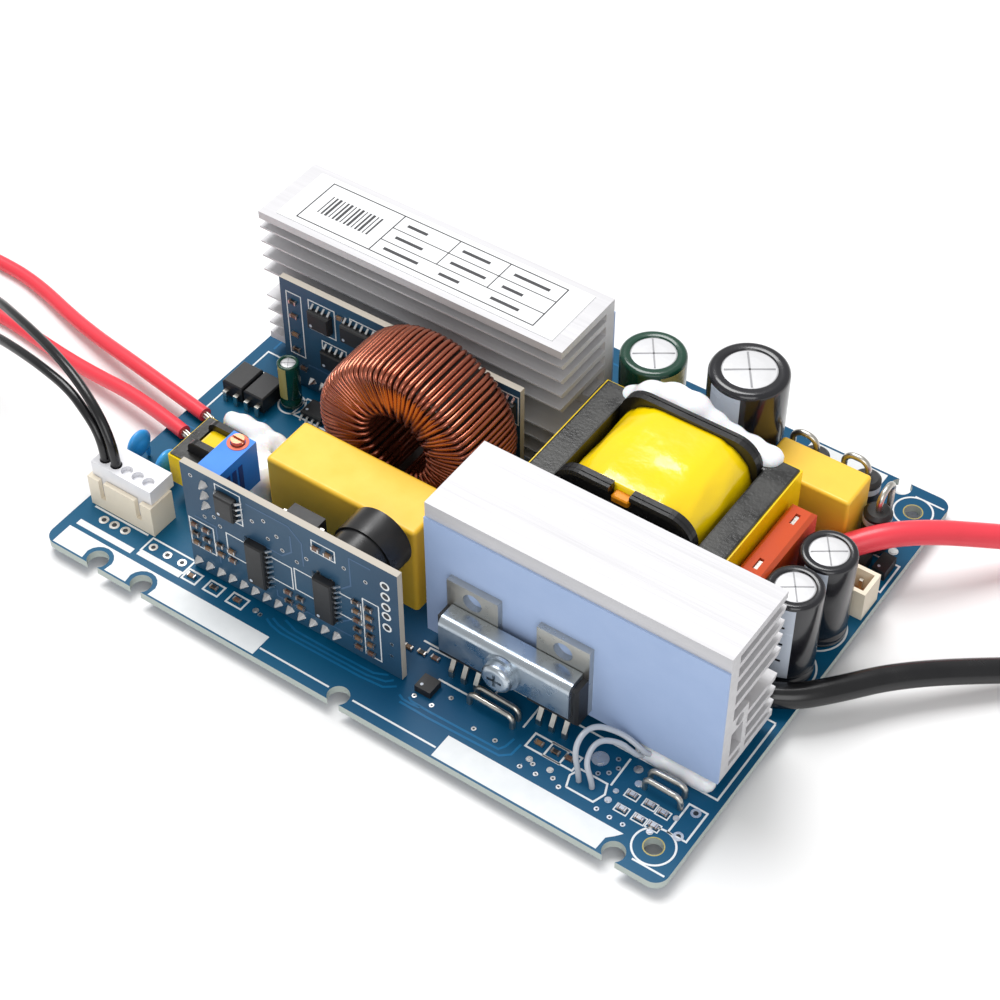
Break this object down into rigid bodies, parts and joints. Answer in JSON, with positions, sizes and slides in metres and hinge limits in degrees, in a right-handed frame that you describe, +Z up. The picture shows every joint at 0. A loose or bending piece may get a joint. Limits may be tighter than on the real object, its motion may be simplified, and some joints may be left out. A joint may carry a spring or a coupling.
{
  "type": "power inverter circuit board",
  "caption": "Open circuit board that turns low-voltage direct current into mains alternating current, with heat sinks, transformer, choke, capacitors, control card and bare leads.",
  "frame": {"origin": "middle of the board in plan, on the surface under its solder joints", "axes": "+X along the long edge to the right, +Y to the back, +Z up"},
  "size_m": [0.2578, 0.1137, 0.0382],
  "materials": {
    "board": "gloss",
    "card": "gloss",
    "solder": "satin",
    "sink": "satin",
    "pad": "matt",
    "tinned": "satin",
    "zinc": "satin",
    "chip_black": "matt",
    "small_parts": "satin",
    "trimmer_blue": "gloss",
    "brass": "satin",
    "black_plastic": "gloss",
    "copper": "gloss",
    "iron_powder": "matt",
    "ferrite": "satin",
    "tape": "gloss",
    "film_yellow": "satin",
    "can": "satin",
    "sleeve_black": "gloss",
    "sleeve_green": "gloss",
    "fuse_red": "gloss",
    "disc_blue": "gloss",
    "beige": "satin",
    "white_plastic": "satin",
    "silicone": "gloss",
    "paper": "matt",
    "lead_red": "satin",
    "lead_black": "gloss"
  },
  "bodies": {
    "board": {"main_board": "board", "solder_joints": "solder", "front_heat_sink": "sink", "rear_heat_sink": "sink", "front_thermal_pad": "pad", "rear_thermal_pad": "pad", "transistor_frames": "tinned", "transistor_bodies": "chip_black", "clamp_bars": "zinc", "clamp_screws": "zinc", "clamp_washers": "zinc", "control_board": "card", "control_board_pins": "solder", "control_board_chips": "chip_black", "trimmer_body": "trimmer_blue", "buzzer": "black_plastic", "driver_board": "card", "driver_board_pins": "solder", "driver_board_chips": "chip_black", "card_small_parts": "small_parts", "chip_leads": "solder", "toroid_core": "iron_powder", "toroid_winding": "copper", "transformer_core": "ferrite", "transformer_bobbin": "black_plastic", "transformer_winding": "tape", "transformer_tape": "tape", "choke_core": "ferrite", "choke_bobbin": "black_plastic", "choke_winding": "tape", "choke_tape": "tape", "large_film_capacitor": "film_yellow", "small_film_capacitor": "film_yellow", "electrolytic_cans": "can", "black_capacitor_sleeves": "sleeve_black", "green_capacitor_sleeves": "sleeve_green", "disc_capacitors": "disc_blue", "fuse_body": "fuse_red", "fuse_blades": "tinned", "diode_bodies": "chip_black", "diode_wires": "tinned", "optocoupler_bodies": "chip_black", "optocoupler_leads": "tinned", "connector_header": "beige", "connector_plug": "white_plastic", "two_way_header": "beige", "connector_pins": "tinned", "board_chips": "chip_black", "board_small_parts": "small_parts", "jumper_wires": "tinned", "sensor_leads": "white_plastic", "silicone_blobs": "silicone", "label_sheet": "paper", "red_output_lead_1": "lead_red", "red_output_lead_2": "lead_red", "red_input_lead": "lead_red", "black_input_lead": "lead_black", "thin_black_lead_1": "lead_black", "thin_black_lead_2": "lead_black"},
    "trimmer_screw": {"trimmer_screw": "brass"}
  },
  "joints": [
    {"name": "trimmer_turn", "type": "hinge", "parent": "board", "child": "trimmer_screw", "pos_m": [-0.03318, -0.0304, 0.029], "axis": [0, 0, 1], "continuous": true}
  ]
}
